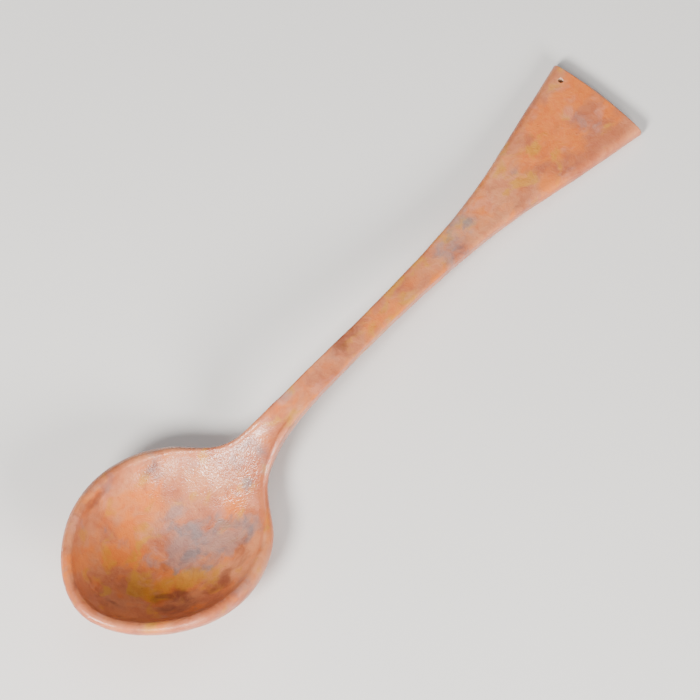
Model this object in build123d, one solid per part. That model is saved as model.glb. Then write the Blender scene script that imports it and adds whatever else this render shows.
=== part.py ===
from build123d import *
import os
from math import acos, cos, radians, sin, sqrt

# A carved wooden spoon with a thin coat of ground, paint and lacquer all over it.
# All sizes are millimetres.  The spoon lies as it rests on a table: bowl towards -X,
# flared handle end towards +X, symmetric about the XZ plane, table at z = 0.
# Distances along the spoon are given from the tip of the bowl.  The origin of the
# part is the bottom centre of its box, ORIGIN_X from the tip.

# ---- Driving dimensions ----
LENGTH = 201.2               # tip of the bowl to the middle of the handle's end
ORIGIN_X = 100.72            # tip of the bowl to the origin
COAT = 0.25                  # ground, paint and lacquer together

# Bowl
BOWL_CENTRE_X = 30.5         # widest point of the bowl
BOWL_HALF_WIDTH = 25.0
NECK_SIDE_LENGTH = 27.3      # widest point to where the egg outline would close
TIP_TAPER = 0.13             # how much narrower than an ellipse the tip half is
RIM_TILT = 17.4              # degrees, tip high
RIM_CENTRE_Z = 15.88         # height of the rim at the widest point
BOWL_DEPTH = 14.4            # outside, square to the rim
WALL = 3.1                   # at the rim
FLOOR = 3.2                  # at the bottom of the bowl
LEAN = 3.0                   # height above the rim where the wall would be upright
RIM_ROUND = 1.4              # rounding of both edges of the rim
FLARE_GAP = 0.05             # flat left beside the rim's inner rounding
OVAL_LEVELS = 7              # egg outlines between the bottom and the rim
OPEN_ABOVE = 14.0            # how far above the rim the hollow is kept clear

# Neck and handle sections: distance from the tip, half width, top height, thickness
HANDLE = [
    (46, 17.0, 11.0, 5.0),
    (50, 15.5, 10.4, 5.6),
    (54, 12.2, 10.1, 6.6),
    (57, 8.8, 10.7, 7.5),
    (60, 6.2, 12.1, 8.0),
    (64, 4.7, 14.3, 7.6),
    (69, 3.9, 16.2, 6.4),
    (76, 3.6, 17.0, 5.4),
    (88, 3.35, 16.3, 4.8),
    (104, 3.35, 14.3, 4.6),
    (125, 3.8, 11.3, 4.4),
    (145, 5.15, 8.7, 4.3),
    (162, 7.75, 6.9, 4.3),
    (180, 11.5, 5.5, 4.2),
    (203, 15.8, 4.05, 4.2),
]
TOP_EDGE_ROUND = 0.9
UNDER_EDGE_ROUND = 1.5
END_BULGE_RADIUS = 100.0     # the end of the handle is a shallow arc
CUT_LENGTH = 40.0            # long enough for a cutter to pass through the handle

# Scoop that runs the bowl out into the top of the handle:
# distance from the tip, half width, floor height
SCOOP = [
    (42, 15.0, 4.6),
    (48, 12.5, 6.4),
    (54, 8.6, 8.6),
    (60, 5.4, 11.4),
    (66, 3.9, 14.8),
    (72, 3.2, 17.2),
]
SCOOP_HEIGHT = 7.0           # half height of the scoop's oval section

# Hanging hole, near the left corner of the flared end
HOLE_RADIUS = 0.8
HOLE_X = 196.45
HOLE_Y = 10.55

TILT = radians(RIM_TILT)
RIM_PLANE = Plane(
    origin=(BOWL_CENTRE_X - ORIGIN_X, 0, RIM_CENTRE_Z),
    x_dir=(cos(TILT), 0, -sin(TILT)),
    z_dir=(sin(TILT), 0, cos(TILT)),
)
TIP_HALF = BOWL_CENTRE_X / cos(TILT)
NECK_HALF = NECK_SIDE_LENGTH / cos(TILT)


def egg(inset, level, shrink=1.0):
    """The bowl's egg outline as a face parallel to the rim."""
    tip = (TIP_HALF - inset) * shrink
    neck = (NECK_HALF - inset) * shrink
    half = (BOWL_HALF_WIDTH - inset) * shrink
    points = []
    steps = 24
    for i in range(steps):
        along = cos(radians(360.0 * i / steps))
        across = sin(radians(360.0 * i / steps))
        if along < 0:
            points.append((tip * along, half * across * (1 - TIP_TAPER * along**2)))
        else:
            points.append((neck * along, half * across))
    return make_face(RIM_PLANE.offset(level) * Spline(*points, periodic=True))


def oval_solid(inset, rim_level, depth):
    """A filled oval bowl, from its rim down to its bottom."""
    reach = LEAN + depth
    grow = 1 / sqrt(1 - (LEAN / reach) ** 2)
    rim_angle = acos(LEAN / reach)
    sections = []
    for i in range(OVAL_LEVELS, 0, -1):
        angle = rim_angle * i / OVAL_LEVELS
        level = rim_level + LEAN - reach * cos(angle)
        sections.append(egg(inset, level, grow * sin(angle)))
    bottom = RIM_PLANE.offset(rim_level - depth).origin
    return loft(sections + [Vertex(*bottom)])


def filled_bowl(skin):
    """The bowl before it is hollowed, its top edge rounded."""
    solid = oval_solid(skin, -skin, BOWL_DEPTH - 2 * skin)
    top = solid.faces().filter_by(GeomType.PLANE)
    return fillet(top.edges(), RIM_ROUND - skin)


def hollow_cutter(skin):
    """The bowl's hollow, flared at the rim's inner edge and carried up above it."""
    flare = RIM_ROUND - skin
    crown = egg(WALL - skin - flare, -skin)
    above = extrude(crown, amount=OPEN_ABOVE, dir=RIM_PLANE.z_dir)
    cutter = oval_solid(WALL - skin, -skin, BOWL_DEPTH - FLOOR) + above
    step = cutter.faces().filter_by(GeomType.PLANE).sort_by(SortBy.AREA)[0]
    return fillet(step.edges().sort_by(SortBy.LENGTH)[:1], flare - FLARE_GAP)


def upright(x, z):
    """A plane across the spoon, at a distance from the tip of the bowl."""
    return Plane(origin=(x - ORIGIN_X, 0, z), x_dir=(0, 1, 0), z_dir=(1, 0, 0))


def handle_section(x, half_width, top, thickness, skin):
    """Upright section across the handle, with its edges rounded."""
    plane = upright(x, top - thickness / 2)
    outline = Rectangle(2 * (half_width - skin), thickness - 2 * skin)
    upper = outline.vertices().group_by(Axis.Y)[-1]
    outline = fillet(upper, TOP_EDGE_ROUND - skin)
    lower = outline.vertices().group_by(Axis.Y)[0]
    outline = fillet(lower, UNDER_EDGE_ROUND - skin)
    return plane * outline


def handle(skin):
    """The neck and the flared handle, cut to its shallow arc at the end."""
    arc_centre = LENGTH - END_BULGE_RADIUS - ORIGIN_X
    end = Pos(arc_centre, 0, 0) * Cylinder(END_BULGE_RADIUS - skin, CUT_LENGTH)
    return loft([handle_section(*row, skin) for row in HANDLE]) & end


def scoop(skin):
    """The hollow that runs the bowl out into the top of the handle."""
    sections = []
    for x, half_width, floor in SCOOP:
        plane = upright(x, floor + SCOOP_HEIGHT)
        sections.append(plane * Ellipse(half_width + skin, SCOOP_HEIGHT + skin))
    return loft(sections)


def spoon(skin):
    """The whole spoon, smaller all round by the thickness of a skin."""
    return filled_bowl(skin) + handle(skin) - hollow_cutter(skin) - scoop(skin)


def main():
    outside = spoon(0)
    inside = spoon(COAT)
    hole = Pos(HOLE_X - ORIGIN_X, HOLE_Y, 0) * Cylinder(HOLE_RADIUS, CUT_LENGTH)
    parts = {
        "wood_body": inside - hole,
        "painted_coat": outside - inside - hole,
    }
    os.makedirs("parts", exist_ok=True)
    for name, solid in parts.items():
        export_step(solid, f"parts/{name}.step")


main()
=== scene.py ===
import math

import bmesh
import bpy
import numpy as np
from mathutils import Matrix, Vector


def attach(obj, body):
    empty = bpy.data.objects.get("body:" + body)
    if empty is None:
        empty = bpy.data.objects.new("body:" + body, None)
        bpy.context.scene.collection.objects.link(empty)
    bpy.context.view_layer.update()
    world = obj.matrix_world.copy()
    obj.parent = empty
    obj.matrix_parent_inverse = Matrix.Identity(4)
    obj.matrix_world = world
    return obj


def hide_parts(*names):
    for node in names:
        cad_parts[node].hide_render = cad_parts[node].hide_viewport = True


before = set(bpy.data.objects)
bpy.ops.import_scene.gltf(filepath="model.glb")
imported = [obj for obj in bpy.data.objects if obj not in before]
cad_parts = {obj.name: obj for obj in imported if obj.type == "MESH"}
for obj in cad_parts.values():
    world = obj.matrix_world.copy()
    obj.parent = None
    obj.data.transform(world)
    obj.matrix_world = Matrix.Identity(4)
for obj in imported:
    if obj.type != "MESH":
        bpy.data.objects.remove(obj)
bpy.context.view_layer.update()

# ---- The spoon's shape, in millimetres, x measured from the tip of the bowl ----
MM = 0.001
LENGTH = 201.2
ORIGIN_X = 100.72            # tip of the bowl to the frame's origin
COAT = 0.25                  # thickness of the ground, paint and lacquer

BOWL_X = 30.5                # widest point of the bowl
TIP = 0.25                   # where the skin starts
BOWL_HALF = 24.46            # half width at the widest point
BOWL_NECK = 27.3             # widest point to where the egg outline closes
TIP_TAPER = 0.15             # how much narrower than an ellipse the tip half is
LIP = 3.0                    # width of the rim
NECK_LIP = 1.5               # the same where the bowl has run out into the neck
RIM_SLOPE = 0.3134           # the rim is high at the tip
RIM_Z = 15.83                # at the widest point
HOLLOW_DEPTH = 11.8          # rim to floor inside the tip half
FLOOR_X = 27.0               # where the tip half of the floor meets the FLOOR line
KEEL_X = 32.0                # where the tip half of the underside meets the KEEL line
OUTWARD_RISE = 1.1           # how fast the hollow's surface climbs outside the lip
RIM_BLEND, NECK_BLEND = 2.6, 0.8    # rounding of the lip's inner edge

END_RADIUS = 100.0           # the end of the handle is a shallow arc
END_CORNER = 4.0             # rounding of the flared end's corners
END_ROWS = 2.4               # length over which the rows close up at the end

# Places along the spoon where one form runs into the next: start and end
WIDTH_FADE = (44, 50)        # egg outline into neck
CREST_FADE = (40, 48)        # rim into top of the neck
INNER_FADE = (38, 52)        # inner edge of the rim into the neck's edges
LIP_FADE = (47, 60)          # width of the rim
BLEND_FADE = (50, 62)        # softness of the lip's inner edge
UNDER_FADE = (52, 68)        # oval underside into flat one
END_FROM = 180               # where the end's arc is taken into account

# How full the curves are: along the floor's tip half, across the hollow, across the underside
FLOOR_CURVE, HOLLOW_CURVE, UNDER_CURVE = (2.3, 0.62), (2.2, 0.66), 2.1

# Knots listed as distance from the tip and then: half width, height of the top, floor of the
# hollow, underside, and the rounding of the upper and lower edges
NECK_HALF = [(44, 21.25), (47, 19.5), (50, 17.1), (52.5, 14.2), (55, 11.1), (57.5, 8.4), (60, 6.6), (63, 5.4),
             (67, 4.45), (74, 3.72), (88, 3.4), (104, 3.3), (120, 3.6), (132, 4.1), (146, 5.2),
             (160, 7.25), (176, 10.6), (201.2, 15.65)]
CREST = [(40, 12.9), (48, 10.4), (53, 9.3), (57, 9.7), (61, 11.7), (66, 14.9), (71, 16.6),
         (78, 16.95), (92, 15.9), (112, 13.2), (132, 10.4), (152, 7.95), (176, 5.8), (200, 4.3)]
FLOOR = [(27, 5.2), (33, 3.9), (40, 3.5), (46, 4.1), (51, 5.7), (56, 8.2), (61, 11.0), (66, 14.0),
         (71, 16.3), (76, 17.4), (86, 19.0), (100, 20.0), (200, 20.0)]
KEEL = [(32, 0.0), (38, 0.15), (44, 0.9), (50, 2.1), (56, 3.4), (62, 5.6), (68, 9.2), (74, 11.2),
        (82, 11.7), (96, 10.6), (112, 8.7), (132, 5.95), (152, 3.6), (176, 1.4), (200, 0.15)]
TOP_ROUND = [(0, 2.2), (50, 2.2), (58, 1.3), (70, 0.8), (110, 0.8), (146, 1.2), (168, 2.0), (200, 2.2)]
UNDER_ROUND = [(0, 1.4), (60, 2.2), (74, 1.9), (110, 1.5), (200, 1.4)]

HOLE_X, HOLE_Y, HOLE_R = 196.45, 10.55, 0.8
WOOD_SHOWS = 0.05            # how far the bare wood stands into the hole

ACROSS = 44                  # steps from the middle line to each edge
WALL_ROWS = 5                # steps down the side wall
MARK_DEPTH = 0.16            # deepest tool mark

# ---- Paint and wood: colours as seen on screen, 0 to 255 ----
COPPER, PEACH = (188, 106, 66), (214, 140, 94)
ORANGE, OCHRE, PINK = (226, 122, 32), (206, 146, 34), (212, 140, 112)
# The last of these is the umber of the dark specks, and also painted shade inside the bowl
LAVENDER, SLATE, UMBER_SPECK_AND_SHADE = (158, 132, 128), (120, 118, 122), (112, 48, 36)
DAB_LIGHT, DAB_DARK = (170, 165, 160), (95, 90, 92)
# Painted highlight for sharp edges, and painted shade for the side walls
EDGE_HIGHLIGHT, SIDE_SHADE = (236, 192, 160), (168, 84, 56)
WOOD_DARK, WOOD_LIGHT, WOOD_PORE = (214, 178, 148), (238, 212, 190), (170, 126, 94)
FLOOR_DARK, FLOOR_LIGHT, AIR = (226, 224, 220), (233, 231, 228), (214, 216, 220)

# Relief of the lacquer and the wood, in millimetres
WRINKLE_DEPTH, BRUSH_DEPTH, GRAIN_DEPTH = 0.35, 0.18, 0.05
WRINKLED_PLACE = (-52.0, 4.0, 12.0)     # the bowl's wall towards the neck
BOWL_SURFACE_Z = 7.0                    # height at which colour areas are centred

# Where a colour gathers on the spoon: x, y from the origin, inner and outer radius, amount
ORANGE_AREAS = [(-68, 15, 3, 13, 0.16), (-80, 9, 3, 12, 0.13), (-80, -9, 2, 12, 0.12), (78, -2, 5, 20, 0.13),
                (20, 0, 5, 30, 0.10), (92, 5, 2, 12, 0.10), (-55, -6, 1, 7, 0.12)]
YELLOW_AREAS = [(-84, -3, 2, 10, 0.17), (-74, -11, 2, 9, 0.12), (-88, 7, 2, 8, 0.08), (4, 0, 4, 16, 0.09),
                (70, 3, 3, 12, 0.08)]
GREY_AREAS = [(-66, -3, 4, 13, 0.22), (-79, 12, 1, 7, 0.14), (-56, -9, 2, 9, 0.15), (-40, 0, 3, 12, 0.16),
              (-10, 0, 2, 9, 0.13), (46, 3, 3, 12, 0.13), (34, -2, 3, 10, 0.1)]
# Painted shade: umber gathers on the inner wall of the bowl, where shade falls
PAINTED_SHADE_AREAS = [(-84, -14, 4, 12, 0.32), (-93, -6, 2, 9, 0.20), (-70, -19, 3, 9, 0.22), (-58, -18, 2, 8, 0.15),
              (-60, 20, 2, 9, 0.16)]


def curve(knots, x):
    """A smooth line through given knots: cubic pieces with averaged slopes."""
    kx = np.array([k[0] for k in knots], float)
    ky = np.array([k[1] for k in knots], float)
    step = np.diff(kx)
    rise = np.diff(ky) / step
    slope = np.empty_like(kx)
    slope[0], slope[-1] = rise[0], rise[-1]
    slope[1:-1] = (rise[:-1] * step[1:] + rise[1:] * step[:-1]) / (step[:-1] + step[1:])
    x = np.clip(np.asarray(x, float), kx[0], kx[-1])
    i = np.clip(np.searchsorted(kx, x, side="right") - 1, 0, len(step) - 1)
    t = (x - kx[i]) / step[i]
    a, b = ky[i], ky[i + 1]
    ma, mb = slope[i] * step[i], slope[i + 1] * step[i]
    return a + ma * t + (3 * (b - a) - 2 * ma - mb) * t**2 + (2 * (a - b) + ma + mb) * t**3


def smooth_min(a, b, k):
    """The lower of two heights, the corner between them rounded over k."""
    h = np.clip(0.5 + 0.5 * (b - a) / k, 0, 1)
    return b + (a - b) * h - k * h * (1 - h)


def fade(x, start, end):
    """0 before start, 1 after end, smooth between."""
    t = np.clip((x - start) / (end - start), 0, 1)
    return t * t * (3 - 2 * t)


def egg_half(x, inset):
    """Half width of the bowl's egg outline, inset all round."""
    u = (x - BOWL_X) / np.where(x < BOWL_X, BOWL_X - TIP - inset, BOWL_NECK - inset)
    half = (BOWL_HALF - inset) * np.sqrt(np.clip(1 - u * u, 0, None))
    return np.where(x < BOWL_X, half * (1 - TIP_TAPER * u * u), half)


def half_width(x):
    """Half width of the whole spoon, rounded where handle meets bowl and at the end."""
    neck = curve(NECK_HALF, x)
    body = egg_half(x, 0) + (neck - egg_half(x, 0)) * fade(x, *WIDTH_FADE)
    end = np.sqrt(np.clip(END_RADIUS**2 - (x - LENGTH + END_RADIUS) ** 2, 0, None))
    return np.where(x > END_FROM, np.clip(smooth_min(body, end, END_CORNER), 0, end), body)


def crest(x):
    """Height of the rim, then of the handle's top."""
    rim = RIM_Z + RIM_SLOPE * (BOWL_X - x)
    return np.where(x < CREST_FADE[0], rim, rim + (curve(CREST, x) - rim) * fade(x, *CREST_FADE))


def hollow_floor(x):
    """Height of the bowl's floor and of the ramp up the neck, on the middle line."""
    u = np.clip((FLOOR_X - x) / (FLOOR_X - TIP - LIP), 0, None)
    bulge, power = FLOOR_CURVE
    bowl = crest(x) - HOLLOW_DEPTH * np.clip(1 - u**bulge, 0, None) ** power
    return np.where(x < FLOOR_X, bowl, curve(FLOOR, x))


def keel(x):
    """Height of the underside on the middle line."""
    u = np.clip((KEEL_X - x) / (KEEL_X - TIP), 0, 1)
    bowl = crest(x) - crest(KEEL_X) * np.sqrt(1 - u * u)
    return np.where(x < KEEL_X, bowl, curve(KEEL, x))


def edge_distance(x, y):
    """Distance in plan from the spoon's outline."""
    w = half_width(x)
    nudge = 1e-3
    slope = (half_width(x + nudge) - half_width(x - nudge)) / (2 * nudge)
    slope = np.where((x < TIP + nudge) | (x > LENGTH - nudge), 1e6, slope)
    w = np.maximum(w, 1e-9)
    return np.clip((w * w - y * y) / (2 * w * np.sqrt(1 + slope * slope)), 0, None)


def rounding(edge, radius):
    """Drop of a quarter-round edge at a distance in from the outline."""
    t = np.clip(1 - edge / radius, 0, 1)
    return radius * (1 - np.sqrt(1 - t * t))


def top_height(x, y):
    """Height of the rim, the hollow and the handle's top."""
    edge = edge_distance(x, y)
    cap = crest(x) - rounding(edge, curve(TOP_ROUND, x))
    lip = LIP + (NECK_LIP - LIP) * fade(x, *LIP_FADE)
    bowl_inner = egg_half(x, LIP)
    neck_inner = np.maximum(half_width(x) - lip, 0.05)
    inner = np.maximum(bowl_inner + (neck_inner - bowl_inner) * fade(x, *INNER_FADE), 0.05)
    across = np.abs(y) / inner
    depth = crest(x) - hollow_floor(x)
    bulge, power = HOLLOW_CURVE
    bend = np.clip(1 - across**bulge, 0, None) ** power
    hollow = crest(x) - depth * np.where(depth > 0, bend, 1) + OUTWARD_RISE * np.clip(lip - edge, 0, None)
    return smooth_min(cap, hollow, RIM_BLEND + (NECK_BLEND - RIM_BLEND) * fade(x, *BLEND_FADE))


def under_height(x, y):
    """Height of the underside: an oval under the bowl, flatter under the handle."""
    edge = edge_distance(x, y)
    w = np.maximum(half_width(x), 1e-9)
    start = curve(TOP_ROUND, x) + 0.35
    full = np.maximum(crest(x) - keel(x), start)
    across = np.clip(np.abs(y) / w, 0, 1)
    oval = start + (full - start) * np.sqrt(1 - across**UNDER_CURVE)
    flat = full - rounding(edge, curve(UNDER_ROUND, x))
    return crest(x) - (oval + (flat - oval) * fade(x, *UNDER_FADE))


def stations():
    """Places along the spoon: close together at the tip and the end."""
    turn = np.linspace(0, math.pi / 2, 90)
    tip = BOWL_X - (BOWL_X - TIP) * np.cos(turn)
    body = np.arange(BOWL_X + 0.5, LENGTH - END_ROWS, 0.5)
    end = LENGTH - END_ROWS * (1 - np.sin(np.linspace(0, math.pi / 2, 22)))
    return np.concatenate([tip, body, end])


def tool_marks(points, normals):
    """Shallow unevenness left by the knife, always inwards, in millimetres."""
    x, y, z = points.T
    long_waves = np.sin(0.21 * x + 0.9) * np.sin(0.33 * y + 0.05 * x) + np.sin(0.47 * x - 0.38 * y + 2.0)
    short_waves = np.sin(0.83 * x + 0.6 * y) * np.sin(0.71 * y - 0.3 * x + 0.5 * z + 1.0)
    depth = MARK_DEPTH * (0.5 + 0.17 * long_waves + 0.12 * short_waves)
    return points - normals * np.clip(depth, 0, MARK_DEPTH)[:, None]


def spoon_mesh(name, inset):
    """The spoon's skin as one closed mesh, moved in along its normals by an inset."""
    xs = stations()
    v = np.sin(np.linspace(-math.pi / 2, math.pi / 2, 2 * ACROSS + 1))
    x = np.repeat(xs[:, None], len(v), 1)
    y = half_width(xs)[:, None] * v[None, :]
    top, under = top_height(x, y), under_height(x, y)
    right, left = [], []
    for k in range(1, WALL_ROWS):
        t = k / WALL_ROWS
        for side, store in ((0, right), (-1, left)):
            z = top[:, side] * (1 - t) + under[:, side] * t
            store.append(np.stack([xs, y[:, side], z], -1)[:, None])
    upper, lower = np.stack([x, y, top], -1), np.stack([x, y, under], -1)[:, ::-1]
    ring = np.concatenate([upper] + left + [lower] + right[::-1], 1)
    count, around = ring.shape[:2]
    points = ring.reshape(-1, 3) - np.array([ORIGIN_X, 0, 0])
    faces = []
    for i in range(count - 1):
        for j in range(around):
            k = (j + 1) % around
            faces.append((i * around + j, i * around + k, (i + 1) * around + k, (i + 1) * around + j))
    mesh = bpy.data.meshes.new(name)
    mesh.from_pydata((points * MM).tolist(), [], faces)
    bm = bmesh.new()
    bm.from_mesh(mesh)
    bmesh.ops.remove_doubles(bm, verts=bm.verts, dist=2e-6)
    bmesh.ops.recalc_face_normals(bm, faces=bm.faces)
    bm.normal_update()
    points = np.array([v.co[:] for v in bm.verts]) / MM
    normals = np.array([v.normal[:] for v in bm.verts])
    points = tool_marks(points, normals) - inset * normals
    for vertex, place in zip(bm.verts, points * MM):
        vertex.co = place
    bm.to_mesh(mesh)
    bm.free()
    obj = bpy.data.objects.new(name, mesh)
    bpy.context.collection.objects.link(obj)
    return obj


def drill(obj, radius):
    """Cuts the hanging hole and leaves the skin smooth with crisp hole edges."""
    place = ((HOLE_X - ORIGIN_X) * MM, HOLE_Y * MM, 0)
    bpy.ops.mesh.primitive_cylinder_add(vertices=64, radius=radius * MM, depth=40 * MM, location=place)
    cutter = bpy.context.object
    cut = obj.modifiers.new("hole", "BOOLEAN")
    cut.operation, cut.solver, cut.object = "DIFFERENCE", "EXACT", cutter
    whole = obj.evaluated_get(bpy.context.evaluated_depsgraph_get())
    mesh = bpy.data.meshes.new_from_object(whole)
    obj.modifiers.clear()
    obj.data = mesh
    bpy.data.objects.remove(cutter)
    mesh.shade_smooth()
    mesh.set_sharp_from_angle(angle=math.radians(50))


# ---- Material helpers ----
def screen(r, g, b):
    """A colour given as 0 to 255 on screen, as the linear value a shader takes."""
    linear = [c / 3294.6 if c < 10.3 else ((c / 255 + 0.055) / 1.055) ** 2.4 for c in (r, g, b)]
    return (*linear, 1.0)


class Finish:
    """A node material, built from small named steps.  Distances are in millimetres."""

    def __init__(self, name):
        self.material = bpy.data.materials.new(name)
        self.material.use_nodes = True
        self.tree = self.material.node_tree
        self.surface = self.tree.nodes["Principled BSDF"]
        place = self.add("ShaderNodeTexCoord").outputs["Object"]
        self.place = self.vector("SCALE", place, scale=1 / MM)

    def add(self, kind, **settings):
        made = self.tree.nodes.new(kind)
        for key, value in settings.items():
            setattr(made, key, value)
        return made

    def feed(self, socket, value):
        """Links a socket, or sets its constant."""
        if isinstance(value, bpy.types.NodeSocket):
            self.tree.links.new(value, socket)
        else:
            socket.default_value = value

    def vector(self, operation, a, b=None, scale=None):
        made = self.add("ShaderNodeVectorMath", operation=operation)
        self.feed(made.inputs[0], a)
        if b is not None:
            self.feed(made.inputs[1], b)
        if scale is not None:
            self.feed(made.inputs["Scale"], scale)
        return made.outputs["Value" if operation == "DISTANCE" else "Vector"]

    def math(self, operation, a, b):
        made = self.add("ShaderNodeMath", operation=operation)
        self.feed(made.inputs[0], a)
        self.feed(made.inputs[1], b)
        return made.outputs[0]

    def noise(self, place, size, seed, detail=3.0, roughness=0.5, colour=False):
        """Clouds about a size across, in millimetres."""
        made = self.add("ShaderNodeTexNoise", noise_dimensions="4D")
        self.feed(made.inputs["Vector"], place)
        for key, value in (("W", seed), ("Scale", 1 / size), ("Detail", detail), ("Roughness", roughness)):
            self.feed(made.inputs[key], value)
        return made.outputs[1 if colour else 0]

    def band(self, value, low, high, start=0.0, end=1.0):
        """A soft step from start to end as the value goes from low to high."""
        made = self.add("ShaderNodeMapRange", interpolation_type="SMOOTHSTEP")
        for socket, amount in zip(made.inputs, (value, low, high, start, end)):
            self.feed(socket, amount)
        return made.outputs[0]

    def spot(self, place, centre, inner, outer, amount):
        """A soft round area: the amount at its middle, fading to nothing."""
        return self.band(self.vector("DISTANCE", place, centre), inner, outer, amount, 0.0)

    def mix(self, share, a, b, blend="MIX"):
        made = self.add("ShaderNodeMix", data_type="RGBA", blend_type=blend)
        self.feed(made.inputs[0], share)
        self.feed(made.inputs[6], a)
        self.feed(made.inputs[7], b)
        return made.outputs[2]

    def bump(self, height, depth, under=None):
        """Surface relief, its depth in millimetres."""
        made = self.add("ShaderNodeBump")
        self.feed(made.inputs["Height"], height)
        self.feed(made.inputs["Distance"], depth * MM)
        if under is not None:
            self.feed(made.inputs["Normal"], under)
        return made.outputs[0]


# ---- Painted and lacquered finish ----
def gathered(finish, place, clouds, areas, low, high, most):
    """Patches of one colour: clouds that thicken in some areas."""
    for x, y, inner, outer, amount in areas:
        area = finish.spot(place, (x, y, BOWL_SURFACE_Z), inner, outer, amount)
        clouds = finish.math("ADD", clouds, area)
    return finish.band(clouds, low, high, 0.0, most)


def painted_finish():
    """Mottled paint under a lacquer that has wrinkled, with painted shade on the sides and in the bowl and a
    painted highlight on the edges.
    """
    f = Finish("painted_lacquer")
    drift = f.vector("SUBTRACT", f.noise(f.place, 5.0, 3.1, 2.0, colour=True), (0.5, 0.5, 0.5))
    wander = f.vector("ADD", f.place, f.vector("SCALE", drift, scale=4.0))
    brushed = f.vector("MULTIPLY", wander, (0.75, 1.1, 1.0))

    colour = f.mix(f.band(f.noise(wander, 13.0, 1.0), 0.36, 0.64), screen(*COPPER), screen(*PEACH))
    # Clouds, the areas where they gather, where they start and are full, the most they cover, and the colour
    layers = [
        (f.noise(brushed, 7.5, 5.2), ORANGE_AREAS, 0.50, 0.68, 0.80, ORANGE),
        (f.noise(brushed, 5.0, 9.7), YELLOW_AREAS, 0.56, 0.70, 0.70, OCHRE),
        (f.noise(brushed, 6.0, 12.4, 4.0), [], 0.55, 0.68, 0.55, PINK),
        (f.noise(brushed, 6.5, 17.9, 4.0), GREY_AREAS, 0.58, 0.74, 0.62, LAVENDER),
        (f.noise(brushed, 4.0, 23.3, 4.0), GREY_AREAS, 0.66, 0.82, 0.58, SLATE),
        # Umber clouds, thickened into painted shade on the bowl's inner wall
        (f.noise(brushed, 7.0, 31.6), PAINTED_SHADE_AREAS, 0.57, 0.78, 0.72, UMBER_SPECK_AND_SHADE),
    ]
    for clouds, areas, low, high, most, tone in layers:
        colour = f.mix(gathered(f, wander, clouds, areas, low, high, most), colour, screen(*tone))

    # Small dabs of lighter and darker paint, and dark specks
    dabs = f.noise(wander, 1.7, 41.0, 5.0, 0.62)
    colour = f.mix(f.band(dabs, 0.40, 0.62, 0.0, 0.55), colour, screen(*DAB_LIGHT), "SOFT_LIGHT")
    colour = f.mix(f.band(dabs, 0.58, 0.40, 0.0, 0.40), colour, screen(*DAB_DARK), "SOFT_LIGHT")
    specks = f.band(f.noise(f.place, 0.55, 47.0, 2.0), 0.66, 0.74, 0.0, 0.35)
    colour = f.mix(specks, colour, screen(*UMBER_SPECK_AND_SHADE))

    # Side walls darker and redder, a painted shade; sharp edges paler, a painted highlight
    shape = f.add("ShaderNodeNewGeometry")
    facing = f.add("ShaderNodeSeparateXYZ")
    f.feed(facing.inputs[0], shape.outputs["Normal"])
    colour = f.mix(f.band(facing.outputs[2], 0.80, 0.25, 0.0, 0.45), colour, screen(*SIDE_SHADE))
    curved = shape.outputs["Pointiness"]
    ragged = f.math("ADD", curved, f.band(dabs, 0.3, 0.7, -0.03, 0.03))
    colour = f.mix(f.band(ragged, 0.54, 0.66, 0.0, 0.60), colour, screen(*EDGE_HIGHLIGHT))
    f.feed(f.surface.inputs["Base Color"], colour)

    # Leathery wrinkles in the lacquer, strongest on the wall of the bowl towards the neck
    creased = f.vector("MULTIPLY", wander, (1.0, 1.25, 1.0))
    wrinkles = f.math("ABSOLUTE", f.math("SUBTRACT", f.noise(creased, 0.9, 53.0, 2.5), 0.5), 0.0)
    near_neck = f.band(f.vector("DISTANCE", f.place, WRINKLED_PLACE), 9.0, 24.0, 1.0, 0.35)
    relief = f.math("MULTIPLY", wrinkles, near_neck)
    normal = f.bump(relief, WRINKLE_DEPTH)
    normal = f.bump(f.noise(brushed, 3.2, 59.0, 3.0), BRUSH_DEPTH, normal)
    f.feed(f.surface.inputs["Normal"], normal)
    f.feed(f.surface.inputs["Roughness"], f.band(f.noise(wander, 4.0, 61.0, 4.0), 0.35, 0.65, 0.34, 0.50))
    f.feed(f.surface.inputs["Coat Weight"], f.band(near_neck, 0.35, 1.0, 0.2, 0.9))
    f.feed(f.surface.inputs["Coat Roughness"], 0.24)
    f.feed(f.surface.inputs["Coat Normal"], normal)
    return f.material


def wood_finish():
    """Pale bare wood, its grain along the spoon."""
    f = Finish("bare_wood")
    along = f.vector("MULTIPLY", f.place, (0.06, 1.0, 1.0))
    grain = f.noise(along, 0.7, 2.0, 4.0, 0.6)
    colour = f.mix(f.band(grain, 0.35, 0.65), screen(*WOOD_DARK), screen(*WOOD_LIGHT))
    pores = f.band(f.noise(along, 0.22, 6.0, 2.0), 0.60, 0.72, 0.0, 0.5)
    colour = f.mix(pores, colour, screen(*WOOD_PORE))
    f.feed(f.surface.inputs["Base Color"], colour)
    f.feed(f.surface.inputs["Roughness"], f.band(grain, 0.3, 0.7, 0.72, 0.58))
    f.feed(f.surface.inputs["Normal"], f.bump(grain, GRAIN_DEPTH))
    return f.material


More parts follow.
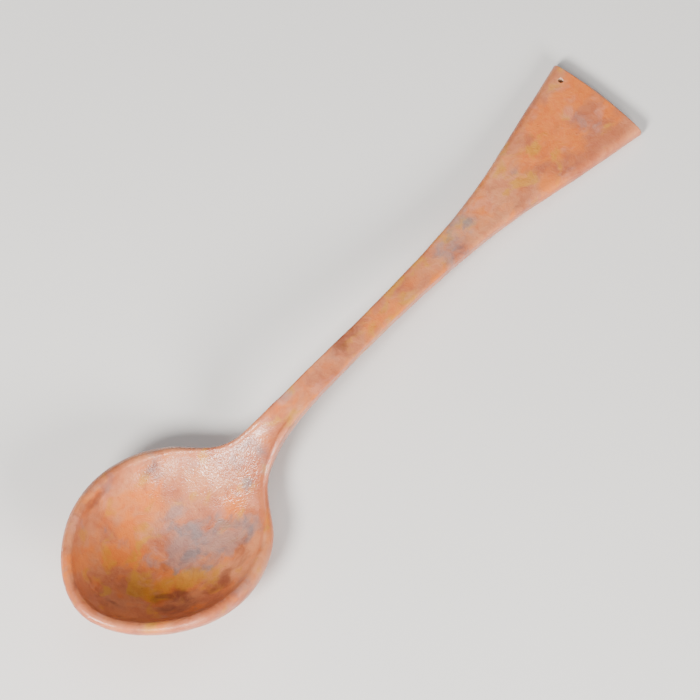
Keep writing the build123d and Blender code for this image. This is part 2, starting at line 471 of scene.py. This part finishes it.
def floor_finish():
    """A plain pale studio floor."""
    f = Finish("studio_floor")
    soft = f.noise(f.place, 90.0, 1.0, 2.0)
    f.feed(f.surface.inputs["Base Color"], f.mix(soft, screen(*FLOOR_DARK), screen(*FLOOR_LIGHT)))
    f.feed(f.surface.inputs["Roughness"], 0.8)
    return f.material


# ---- Placing helpers ----
def face(obj, target):
    """Turns a camera or light to look at a point."""
    obj.rotation_euler = (Vector(target) - obj.location).to_track_quat("-Z", "Y").to_euler()


def soft_light(name, place, target, size, power, colour):
    """A round area light, its size in metres and its power in watts."""
    lamp = bpy.data.lights.new(name, "AREA")
    lamp.shape, lamp.size, lamp.energy, lamp.color = "DISK", size, power, colour
    obj = bpy.data.objects.new(name, lamp)
    obj.location = place
    bpy.context.collection.objects.link(obj)
    face(obj, target)


# ---- The pieces ----
skin = spoon_mesh("painted_skin", 0.0)
drill(skin, HOLE_R)
skin.data.materials.append(painted_finish())
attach(skin, "root")
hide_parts("painted_coat")

core = spoon_mesh("wood_core", COAT)
drill(core, HOLE_R - WOOD_SHOWS)
core.data.materials.append(wood_finish())
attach(core, "root")
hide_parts("wood_body")

# ---- Floor, light and camera ----
bpy.ops.mesh.primitive_plane_add(size=3.0, location=(0, 0, -0.0001))
floor = bpy.context.object
floor.name = "studio_floor"
floor.data.materials.append(floor_finish())

soft_light("key", (-0.72, -0.10, 0.60), (-0.05, 0.0, 0.01), 0.30, 18.0, (1.0, 0.98, 0.95))
soft_light("front", (-0.25, -0.85, 0.45), (0.0, 0.0, 0.01), 0.40, 13.0, (1.0, 0.98, 0.96))
soft_light("overhead", (0.15, 0.20, 1.1), (0.0, 0.0, 0.0), 0.90, 4.0, (0.97, 0.98, 1.0))

world = bpy.data.worlds.new("studio_air")
world.use_nodes = True
air = world.node_tree.nodes["Background"]
air.inputs["Color"].default_value = screen(*AIR)
air.inputs["Strength"].default_value = 0.25
bpy.context.scene.world = world

lens = bpy.data.cameras.new("camera")
lens.angle = math.radians(15.0)
camera = bpy.data.objects.new("camera", lens)
camera.location = (-0.1890, -0.1640, 0.6450)
bpy.context.collection.objects.link(camera)
face(camera, (0.00116, 0.00308, -0.0009))
bpy.context.scene.camera = camera
